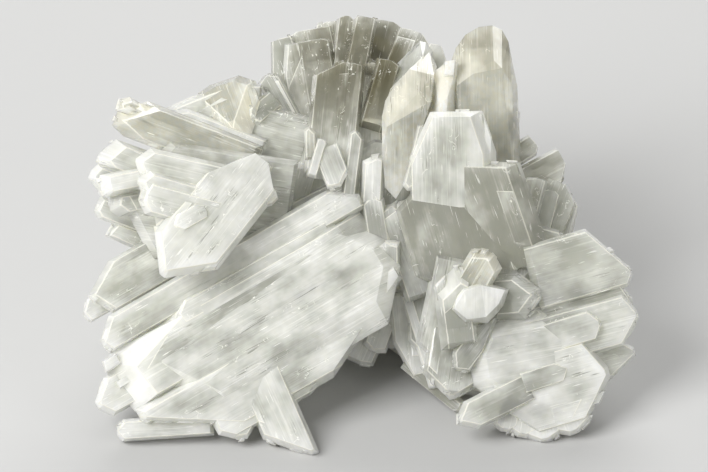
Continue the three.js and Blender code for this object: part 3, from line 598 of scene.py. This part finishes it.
def crystal_meshes(crystal, number, upright):
    """The mesh of one crystal and those of what grows on it"""
    rng = random.Random(number)
    to_part = TO_PART if upright else TO_PART @ TURNED_UP
    if "corners" in crystal:
        yield block_mesh(crystal, number, to_part)
        return
    own, length = axes_of(crystal)
    place = to_part @ own
    look, wide, thick = crystal["look"], crystal["wide"], crystal["thick"]
    end, right_end = crystal["end_run"], crystal["right_end_run"]
    left, right = crystal["left_run"], crystal["right_run"]
    middle = outline(wide, length, crystal["cut"], crystal["foot_cut"])
    plate = inset(middle, [end, right, right_end, end, end, left, end, end])
    under_end = UNDER_END * thick
    under_side = min(UNDER_SIDE * thick, MOST_BEVEL * wide)
    under = inset(middle, [under_end, under_side, under_end, under_end] * 2)
    points = [(x, y, 0) for x, y in middle]
    points += [(x, y, thick / 2) for x, y in plate]
    points += [(x, y, -thick / 2) for x, y in under]
    seed = CRYSTAL_SEED * number
    inner = any(crystal is other for other in INFILL)
    lines = [NO_EDGE] * 4 if inner else edge_lines(middle, length, left, right, end, right_end)
    yield hull_mesh(f"c{number}", points, place, look, seed, lines, length)
    if inner or wide < LEAST_STEPPED or len(plate) < 4:
        return
    yield from growth_steps(crystal, number, plate, length, place, rng)
    yield from end_strips(crystal, number, middle, length, place, rng)
    if upright:
        yield from satellites(crystal, number, length, place, rng)


def shaded(look, rng, less, more):
    """A look whose milkiness is changed at random"""
    milk = min(1.0, max(0.0, look[0] + rng.uniform(-less, more)))
    return (milk, *look[1:])


def growth_steps(crystal, number, plate, length, place, rng):
    """Thin steps on a blade's plate, each a strip along it that ends short of the tip"""
    surface = crystal["thick"] / 2
    x = min(x for x, _ in plate) + STEP_MARGIN
    last = max(x for x, _ in plate) - STEP_MARGIN
    while x < last - STEP_NARROWEST - STEP_MARGIN:
        wide = min(rng.uniform(*STEP_WIDE), last - x)
        left, right = x, x + wide
        x = right
        if wide < STEP_NARROWEST or rng.random() > STEP_SHARE:
            continue
        found = [crossings(plate, left), crossings(plate, right)]
        if not all(found):
            continue
        tops = [max(ys) for ys in found]
        room = min(tops) - max(min(ys) for ys in found)
        if room < STEP_ROOM:
            continue
        back = rng.uniform(*STEP_BACK) ** STEP_BACK_POWER * room
        run = rng.uniform(*STEP_REACH) * (room - back)
        high = surface + rng.uniform(*STEP_HIGH)
        if run < STEP_RUN:
            continue
        ends = [top - back for top in tops]
        start = min(ends) - run
        shape = [(left, start), (right, start), (right, ends[1]), (left, ends[0])]
        top = inset(shape, [min(STEP_BEVEL, MOST_STEP_BEVEL * wide)] * 4)
        points = [(px, py, surface - STEP_DEPTH) for px, py in shape]
        points += [(px, py, surface + STEP_SHOULDER) for px, py in shape]
        points += [(px, py, high) for px, py in top]
        look = shaded(crystal["look"], rng, *STEP_SHADE)
        seed = CRYSTAL_SEED * number + rng.random() * STEP_SEED_SPREAD
        yield hull_mesh(f"s{number}", points, place, look, seed, strip_lines(left, right, ends), length)


def end_strips(crystal, number, middle, length, place, rng):
    """Narrow strips that stand out of a blade's tip by different lengths"""
    x = -crystal["wide"] / 2 + STRIP_EDGE
    last = crystal["wide"] / 2 - STRIP_EDGE
    while x < last - STRIP_EDGE:
        wide = min(rng.uniform(*STRIP_WIDE), last - x)
        left, right = x, x + wide
        x = right
        found = [crossings(middle, left), crossings(middle, right)]
        if not all(found) or wide < STRIP_EDGE or rng.random() > STRIP_SHARE:
            continue
        past = rng.uniform(*STRIP_PAST)
        ends = [max(ys) + past for ys in found]
        half = crystal["thick"] * rng.uniform(*STRIP_THICK) / 2
        z = crystal["thick"] * rng.uniform(-STRIP_OFF, STRIP_OFF)
        start = min(ends) - STRIP_ROOT
        shape = [(left, start), (right, start), (right, ends[1]), (left, ends[0])]
        plate = inset(shape, [min(STEP_BEVEL, MOST_STEP_BEVEL * wide)] * 4)
        points = [(px, py, z) for px, py in shape]
        points += [(px, py, z + side) for px, py in plate for side in (half, -half)]
        look = shaded(crystal["look"], rng, *STRIP_SHADE)
        seed = STRIP_SEED * number + right
        yield hull_mesh(f"e{number}", points, place, look, seed, strip_lines(left, right, ends), length)


def satellites(crystal, number, length, place, rng):
    """Thinner blades grown along a back blade, on its upper and lower face"""
    for i in range(SATELLITES):
        wide = crystal["wide"] * rng.uniform(*SATELLITE_WIDE)
        thick = crystal["thick"] * rng.uniform(*SATELLITE_THICK)
        reach = length * rng.uniform(*SATELLITE_REACH)
        x = rng.uniform(-0.5, 0.5) * (crystal["wide"] - wide)
        z = crystal["thick"] / 2 + SATELLITE_RAISED * thick
        if i % SATELLITE_BELOW == 0:
            z = -z
        swing = math.radians(rng.uniform(-SATELLITE_TURN, SATELLITE_TURN))
        setbacks = [wide * BACK_SETBACK * rng.uniform(*SATELLITE_SETBACK) for _ in range(2)]
        middle = outline(wide, reach, [*setbacks, 0, wide * BACK_POINT], [0, 0, 0, wide])
        side = min(SIDE_BEVEL * thick, MOST_BEVEL * wide)
        end = BACK_END * thick
        plate = inset(middle, [end, side, end, end] * 2)
        points = [(px, py, 0) for px, py in middle]
        points += [(px, py, pz) for px, py in plate for pz in (thick / 2, -thick / 2)]
        own_place = place @ Matrix.Translation((x, 0, z)) @ Matrix.Rotation(swing, 4, "Z")
        look = shaded(crystal["look"], rng, *SATELLITE_SHADE)
        seed = SATELLITE_SEED * number + i
        lines = edge_lines(middle, reach, side, side, end, end)
        yield hull_mesh(f"b{number}", points, own_place, look, seed, lines, reach)


def join_group(collection, floor):
    """A node group that joins the collection's meshes and takes off what lies in the floor object"""
    tree = bpy.data.node_groups.new("join", "GeometryNodeTree")
    tree.interface.new_socket("Geometry", in_out="OUTPUT", socket_type="NodeSocketGeometry")
    crystals = tree.nodes.new("GeometryNodeCollectionInfo")
    crystals.inputs["Collection"].default_value = collection
    crystals.inputs["Separate Children"].default_value = True
    union = tree.nodes.new("GeometryNodeMeshBoolean")
    union.operation = "UNION"
    union.solver = "MANIFOLD"
    slab = tree.nodes.new("GeometryNodeObjectInfo")
    slab.inputs["Object"].default_value = floor
    trim = tree.nodes.new("GeometryNodeMeshBoolean")
    trim.operation = "DIFFERENCE"
    trim.solver = "MANIFOLD"
    out = tree.nodes.new("NodeGroupOutput")
    tree.links.new(crystals.outputs["Instances"], union.inputs[1])
    tree.links.new(union.outputs["Mesh"], trim.inputs[0])
    tree.links.new(slab.outputs["Geometry"], trim.inputs[1])
    tree.links.new(trim.outputs["Mesh"], out.inputs[0])
    return tree


def slab_mesh():
    """A block under the floor, as wide as it is deep, which cuts the cluster's base flat"""
    mesh = bpy.data.meshes.new("slab")
    bm = bmesh.new()
    bmesh.ops.create_cube(bm, size=SLAB_SIZE, matrix=Matrix.Translation((0, 0, -SLAB_SIZE / 2)))
    bm.to_mesh(mesh)
    bm.free()
    return mesh


def joined_cluster():
    """All the crystals and what grows on them, joined into one closed mesh that is flat at the floor"""
    scene = bpy.context.scene
    parts = bpy.data.collections.new("crystal_parts")
    scene.collection.children.link(parts)
    crystals = [(crystal, False) for crystal in FRONT] + [(crystal, True) for crystal in back_blades()]
    for number, (crystal, upright) in enumerate(crystals):
        for mesh in crystal_meshes(crystal, number, upright):
            parts.objects.link(bpy.data.objects.new(mesh.name, mesh))
    slab = bpy.data.objects.new("slab", slab_mesh())
    host = bpy.data.objects.new("host", bpy.data.meshes.new("host"))
    scene.collection.objects.link(slab)
    scene.collection.objects.link(host)
    host.modifiers.new("join", "NODES").node_group = join_group(parts, slab)
    depsgraph = bpy.context.evaluated_depsgraph_get()
    joined = bpy.data.meshes.new_from_object(host.evaluated_get(depsgraph))
    joined.name = "selenite_crystals"
    for temporary in [slab, host, *parts.objects]:
        mesh = temporary.data
        bpy.data.objects.remove(temporary)
        bpy.data.meshes.remove(mesh)
    bpy.data.collections.remove(parts)
    made = bpy.data.objects.new("selenite_crystals", joined)
    scene.collection.objects.link(made)
    return made


# Material
CLEAR_COLOUR = (0.66, 0.675, 0.60, 1)
MILK_COLOUR = (0.91, 0.92, 0.865, 1)
FROST_COLOUR = (0.94, 0.945, 0.90, 1)
# the dark smoky tint, which also paints the shade of the deep pocket
SMOKE_AND_SHADE_COLOUR = (0.17, 0.145, 0.055, 1)
STAIN_COLOUR = (0.82, 0.74, 0.51, 1)
ABSORPTION_COLOUR = (0.86, 0.86, 0.80, 1)
ABSORPTION = 4.0  # density, per metre
IOR = 1.52
COAT = 0.5
COAT_ROUGHNESS = 0.08
SUBSURFACE = 0.7
SUBSURFACE_RADIUS = (1.0, 1.0, 0.9)
SUBSURFACE_SCALE = 0.004  # metres
BUMP = 0.25
BUMP_HEIGHT = 0.0001  # metres
FINE_BUMP = 0.5  # the streaks' share of the bump
BROAD_BUMP = 0.3

# Noises in each blade's own grain: cycles per mm across and along it, and per step of its seed
NOISES = dict(
    fine=dict(stretch=(3.2, 0.07, 1.0), roughness=0.6),
    broad=dict(stretch=(0.45, 0.05, 1.0)),
    cloud=dict(stretch=(0.13, 0.09, 1.0), detail=3.0, roughness=0.55),
    thread=dict(stretch=(2.2, 0.05, 1.0), roughness=0.6),
    scratch=dict(stretch=(3.2, 0.18, 1.0), detail=1.0),
    field=dict(stretch=(0.16, 0.06, 3.0), detail=1.0),
    patch=dict(stretch=(0.30, 0.07, 2.0), detail=1.0),
    speck=dict(stretch=(1.1, 0.9, 1.0), detail=4.0, roughness=0.65),
    crackle=dict(stretch=(0.3, 0.22, 1.5), roughness=0.6),
)
NOISE_MEAN = 0.5

# Ramps: from low to high of the value, and what that becomes where it isn't 0 to 1
# rims: cream wear with a painted highlight along each rim
RIM_WEAR_AND_HIGHLIGHT = (0.06, 0.24, 1.0, 0.0)  # mm from the rim
TIP_FROST = (1.5, 6.0, 1.0, 0.0)  # mm from the end
STREAKED = (0.4, 0.62, 0.1, 0.42)  # strength of the streaks, by patches
THREAD = (0.54, 0.64)
THREAD_FIELD = (0.42, 0.58)
SCRATCH = (0.56, 0.72)
SCRATCH_PATCH = (0.54, 0.74)
SCRATCH_FROM_RIM = (0.5, 3.0, 0.0, 0.8)  # mm from the rim
# glints and the flecks below are painted highlights: short bright dashes and sparkles
GLINT = (0.34, 0.28)
GLINT_PATCH = (0.46, 0.36)
PAINTED_SPARKLE = (0.61, 0.68)
PAINTED_SPARKLE_SMOKE_AND_SHADE = (0.3, 0.5)
PAINTED_SPARKLE_CLOUD = (0.5, 0.58)
CRACK = (0.004, 0.011, 1.0, 0.0)  # the noise's distance from its mean
CRACK_SPECK = (0.46, 0.56)
CRACK_PATCH = (0.56, 0.66)
CLOUDED = (0.0, 1.1)
MILKY_FROM_CLEAR = (0.0, 0.6)
FROSTED_FROM_MILKY = (0.6, 1.0)
# how much of the smoky tint and painted shade shows through the milkiness
SMOKE_AND_SHADE_SEEN = (0.2, 0.9, 1.0, 0.15)
STAINED = (0.4, 0.62)
ROUGHNESS = (0.1, 0.95, 0.08, 0.26)
TRANSMISSION = (0.3, 1.0, 0.66, 0.2)

# How much each thing adds to the milkiness, or takes from something else
BAND_MILK = 0.15
HAZE_MILK = 1.4
THREAD_MILK = 0.14
END_MILK = 0.2
SIDE_OVER_END_MILK = 0.7
TIP_MILK = 0.2
# the glints' painted highlight
GLINT_MILK = 0.6
CRACK_MILK = 0.6
# the rims' wear and painted highlight
RIM_WEAR_AND_HIGHLIGHT_MILK = 0.5
RIM_WAVE = 0.3  # mm
TIP_WAVE = 4.0  # mm
# fewer rim marks and streaks where the smoky tint and painted shade lie
SMOKE_AND_SHADE_LESS_RIM_MARK = 0.7
SMOKE_AND_SHADE_LESS_STREAKED = 0.8
END_MORE_STAINED = 0.15
STAIN_STRENGTH = 0.7
RIM_WEAR_AND_HIGHLIGHT_STAIN = 0.3

# Studio
FLOOR_HALF = 3  # metres
FLOOR_COLOUR = (0.46, 0.46, 0.455, 1)
FLOOR_ROUGHNESS = 0.6
SKY_COLOUR = (0.77, 0.77, 0.755, 1)
SKY_STRENGTH = 0.42
LIT_POINT = (0, 0, 0.03)  # metres, where the lights point
# Soft lights: place and size in metres, power in watts
LIGHTS = dict(
    key=dict(place=(-0.6, -0.45, 0.75), size=(0.6, 0.6), power=13.3),
    fill=dict(place=(0.7, -0.5, 0.35), size=(0.6, 0.4), power=1.5),
    rear=dict(place=(0.1, 0.7, 0.55), size=(0.8, 0.5), power=5.0),
)


class Nodes:
    """Short calls that add nodes to one tree"""

    def __init__(self, tree):
        self.tree = tree

    def put(self, socket, value):
        if isinstance(value, bpy.types.NodeSocket):
            self.tree.links.new(value, socket)
        else:
            socket.default_value = value

    def add(self, kind, inputs, output=0, **settings):
        made = self.tree.nodes.new(kind)
        for key, value in settings.items():
            setattr(made, key, value)
        for key, value in inputs.items():
            self.put(made.inputs[key], value)
        return made.outputs[output]

    def math(self, operation, a, b=0.0):
        return self.add("ShaderNodeMath", {0: a, 1: b}, operation=operation)

    def times(self, first, *others):
        for other in others:
            first = self.math("MULTIPLY", first, other)
        return first

    def plus(self, first, *others):
        for other in others:
            first = self.math("ADD", first, other)
        return first

    def less(self, share, amount):
        """1 where the share is 0, and lower by the amount where it is 1"""
        return self.math("SUBTRACT", 1.0, self.times(share, amount))

    def centred(self, noise):
        return self.math("SUBTRACT", noise, NOISE_MEAN)

    def attribute(self, name):
        """The three numbers that the mesh keeps under this name, as one vector"""
        return self.add("ShaderNodeAttribute", {}, "Vector", attribute_name=name)

    def numbers(self, name):
        """The same three numbers, one by one"""
        made = self.tree.nodes.new("ShaderNodeSeparateXYZ")
        self.tree.links.new(self.attribute(name), made.inputs[0])
        return made.outputs

    def noise(self, vector, stretch, detail=2.0, roughness=0.5):
        stretched = self.add("ShaderNodeVectorMath", {0: vector, 1: stretch}, operation="MULTIPLY")
        return self.add("ShaderNodeTexNoise", {"Vector": stretched, "Scale": 1.0, "Detail": detail,
                                               "Roughness": roughness}, "Fac")

    def ramp(self, value, low, high, to_low=0.0, to_high=1.0, smooth=True):
        kind = "SMOOTHSTEP" if smooth else "LINEAR"
        return self.add("ShaderNodeMapRange", {"Value": value, "From Min": low, "From Max": high,
                                               "To Min": to_low, "To Max": to_high},
                        interpolation_type=kind, clamp=True)

    def line(self, value, low, high, to_low=0.0, to_high=1.0):
        return self.ramp(value, low, high, to_low, to_high, smooth=False)

    def mix(self, share, a, b):
        """Colour a where the share is 0 and b where it is 1, through the Mix node's colour sockets"""
        made = self.tree.nodes.new("ShaderNodeMix")
        made.data_type = "RGBA"
        self.put(made.inputs[0], share)
        self.put(made.inputs[6], a)
        self.put(made.inputs[7], b)
        return made.outputs[2]


def inner_marks(nodes, noise, smoke_and_shade):
    """Milkiness from what lies in the crystal: streaks, bands, haze, threads and cracks, and painted
    highlights: glints and sparkles
    """
    patch, cloud, speck = noise["patch"], noise["cloud"], noise["speck"]
    lined = nodes.times(nodes.ramp(patch, *STREAKED), nodes.less(smoke_and_shade, SMOKE_AND_SHADE_LESS_STREAKED))
    streak = nodes.times(nodes.centred(noise["fine"]), lined)
    band = nodes.times(nodes.centred(noise["broad"]), BAND_MILK)
    haze = nodes.times(nodes.centred(cloud), HAZE_MILK)
    threads = nodes.times(nodes.ramp(noise["thread"], *THREAD), nodes.ramp(noise["field"], *THREAD_FIELD))
    # painted highlights: glints in patches, and sparkling flecks in the smoky shade
    glint = nodes.times(nodes.ramp(noise["scratch"], *GLINT), nodes.ramp(patch, *GLINT_PATCH))
    painted_sparkle = nodes.times(nodes.ramp(speck, *PAINTED_SPARKLE), nodes.ramp(smoke_and_shade, *PAINTED_SPARKLE_SMOKE_AND_SHADE),
                        nodes.ramp(cloud, *PAINTED_SPARKLE_CLOUD))
    crack = nodes.ramp(nodes.math("ABSOLUTE", nodes.centred(noise["crackle"])), *CRACK)
    crack = nodes.times(crack, nodes.ramp(speck, *CRACK_SPECK), nodes.ramp(patch, *CRACK_PATCH))
    return nodes.plus(
        streak, band, haze, painted_sparkle, nodes.times(threads, THREAD_MILK), nodes.times(glint, GLINT_MILK),
        nodes.times(crack, CRACK_MILK),
    )


def rim_wear_and_highlights(nodes, noise, rim, smoke_and_shade):
    """Where a rim is worn and carries a painted highlight, which is less on smoky blades"""
    wave = nodes.times(nodes.centred(noise["speck"]), RIM_WAVE)
    wavy = nodes.math("ABSOLUTE", nodes.plus(rim, wave))
    return nodes.times(nodes.ramp(wavy, *RIM_WEAR_AND_HIGHLIGHT), nodes.less(smoke_and_shade, SMOKE_AND_SHADE_LESS_RIM_MARK))


def crystal_colour(nodes, noise, cloudy, smoke_and_shade, stain, rim_wear_and_highlight, is_end):
    colour = nodes.mix(nodes.line(cloudy, *MILKY_FROM_CLEAR), CLEAR_COLOUR, MILK_COLOUR)
    colour = nodes.mix(nodes.line(cloudy, *FROSTED_FROM_MILKY), colour, FROST_COLOUR)
    # the smoky tint darkens the colour, partly as painted shade of the pocket
    colour = nodes.mix(nodes.times(smoke_and_shade, nodes.ramp(cloudy, *SMOKE_AND_SHADE_SEEN)), colour, SMOKE_AND_SHADE_COLOUR)
    spots = nodes.ramp(nodes.plus(noise["speck"], nodes.times(is_end, END_MORE_STAINED)), *STAINED)
    stained = nodes.times(stain, spots, STAIN_STRENGTH)
    # cream along the rims, from wear with a painted highlight
    stained = nodes.math("MAXIMUM", stained, nodes.times(rim_wear_and_highlight, RIM_WEAR_AND_HIGHLIGHT_STAIN))
    return nodes.mix(stained, colour, STAIN_COLOUR)


def crystal_material():
    """See-through crystal, milky, frosted or smoky in places, with painted shade in the pocket and painted
    highlights on the rims and in glints and sparkles, from what each face corner carries
    """
    material = bpy.data.materials.new("selenite")
    material.use_nodes = True
    tree = material.node_tree
    tree.nodes.clear()
    nodes = Nodes(tree)
    grain = nodes.attribute("grain")
    left, right, is_side = nodes.numbers("sides")
    end_left, end_right, is_end = nodes.numbers("ends")
    # the look's second number is the smoky tint, partly painted shade of the pocket
    milk, smoke_and_shade, stain = nodes.numbers("look")
    noise = {name: nodes.noise(grain, **settings) for name, settings in NOISES.items()}

    end = nodes.math("MINIMUM", end_left, end_right)
    rim = nodes.math("MINIMUM", nodes.math("MINIMUM", left, right), end)
    # worn rims, whose whiteness is partly a painted highlight
    rim_wear_and_highlight = rim_wear_and_highlights(nodes, noise, rim, smoke_and_shade)
    frosted = nodes.ramp(nodes.plus(end, nodes.times(noise["cloud"], TIP_WAVE)), *TIP_FROST)
    edge = nodes.math("MAXIMUM", is_end, nodes.times(is_side, SIDE_OVER_END_MILK))
    scratch = nodes.times(nodes.ramp(noise["scratch"], *SCRATCH), nodes.ramp(noise["patch"], *SCRATCH_PATCH),
                          nodes.ramp(rim, *SCRATCH_FROM_RIM))
    total = nodes.plus(
        milk, inner_marks(nodes, noise, smoke_and_shade), nodes.times(edge, END_MILK), nodes.times(frosted, TIP_MILK),
        nodes.times(rim_wear_and_highlight, RIM_WEAR_AND_HIGHLIGHT_MILK),
    )
    cloudy = nodes.line(nodes.math("SUBTRACT", total, scratch), *CLOUDED)

    relief = nodes.plus(nodes.times(noise["fine"], FINE_BUMP), nodes.times(noise["broad"], BROAD_BUMP))
    bump = {"Height": relief, "Strength": BUMP, "Distance": BUMP_HEIGHT}
    surface = nodes.add("ShaderNodeBsdfPrincipled", {
        "Base Color": crystal_colour(nodes, noise, cloudy, smoke_and_shade, stain, rim_wear_and_highlight, is_end),
        "Roughness": nodes.line(cloudy, *ROUGHNESS),
        "Transmission Weight": nodes.line(cloudy, *TRANSMISSION),
        "Normal": nodes.add("ShaderNodeBump", bump, "Normal"),
        "IOR": IOR,
        "Coat Weight": COAT,
        "Coat Roughness": COAT_ROUGHNESS,
        "Subsurface Weight": SUBSURFACE,
        "Subsurface Radius": SUBSURFACE_RADIUS,
        "Subsurface Scale": SUBSURFACE_SCALE,
    })
    volume = nodes.add("ShaderNodeVolumeAbsorption", {"Color": ABSORPTION_COLOUR, "Density": ABSORPTION})
    out = tree.nodes.new("ShaderNodeOutputMaterial")
    tree.links.new(surface, out.inputs["Surface"])
    tree.links.new(volume, out.inputs["Volume"])
    return material


def floor_material():
    material = bpy.data.materials.new("floor")
    material.use_nodes = True
    shader = material.node_tree.nodes["Principled BSDF"]
    shader.inputs["Base Color"].default_value = FLOOR_COLOUR
    shader.inputs["Roughness"].default_value = FLOOR_ROUGHNESS
    return material


def studio_floor():
    far = FLOOR_HALF
    mesh = bpy.data.meshes.new("floor")
    mesh.from_pydata([(-far, -far, 0), (far, -far, 0), (far, far, 0), (-far, far, 0)], [], [(0, 1, 2, 3)])
    mesh.materials.append(floor_material())
    made = bpy.data.objects.new("floor", mesh)
    bpy.context.scene.collection.objects.link(made)
    return made


def studio_sky():
    world = bpy.data.worlds.new("studio")
    bpy.context.scene.world = world
    world.use_nodes = True
    background = world.node_tree.nodes["Background"]
    background.inputs["Color"].default_value = SKY_COLOUR
    background.inputs["Strength"].default_value = SKY_STRENGTH


def area_light(name, place, size, power):
    light = bpy.data.lights.new(name, "AREA")
    light.shape = "RECTANGLE"
    light.size, light.size_y = size
    light.energy = power
    made = bpy.data.objects.new(name, light)
    made.location = place
    made.rotation_euler = (Vector(LIT_POINT) - Vector(place)).to_track_quat("-Z", "Y").to_euler()
    made.visible_camera = False
    bpy.context.scene.collection.objects.link(made)


def photo_camera():
    """The camera of the photographed view, which looks straight at the sloping front from far away"""
    lens = bpy.data.cameras.new("camera")
    lens.sensor_width = SENSOR
    lens.lens = SENSOR * CAMERA_AWAY / (PHOTO_WIDTH * PIXEL)
    lens.clip_start = CAMERA_NEAR
    lens.clip_end = CAMERA_FAR
    made = bpy.data.objects.new("camera", lens)
    made.location = MM * (LEANING_ORIGIN + TURNED_UP @ Vector((0, 0, CAMERA_AWAY)))
    made.rotation_euler = (math.radians(LEAN), 0, 0)
    bpy.context.scene.collection.objects.link(made)
    bpy.context.scene.camera = made


cluster = joined_cluster()
cluster.data.materials.clear()
cluster.data.materials.append(crystal_material())
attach(cluster, "root")
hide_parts("selenite_cluster")

floor = studio_floor()
studio_sky()
for light_name, light_settings in LIGHTS.items():
    area_light(light_name, **light_settings)
photo_camera()
bpy.context.scene.view_settings.view_transform = "Standard"
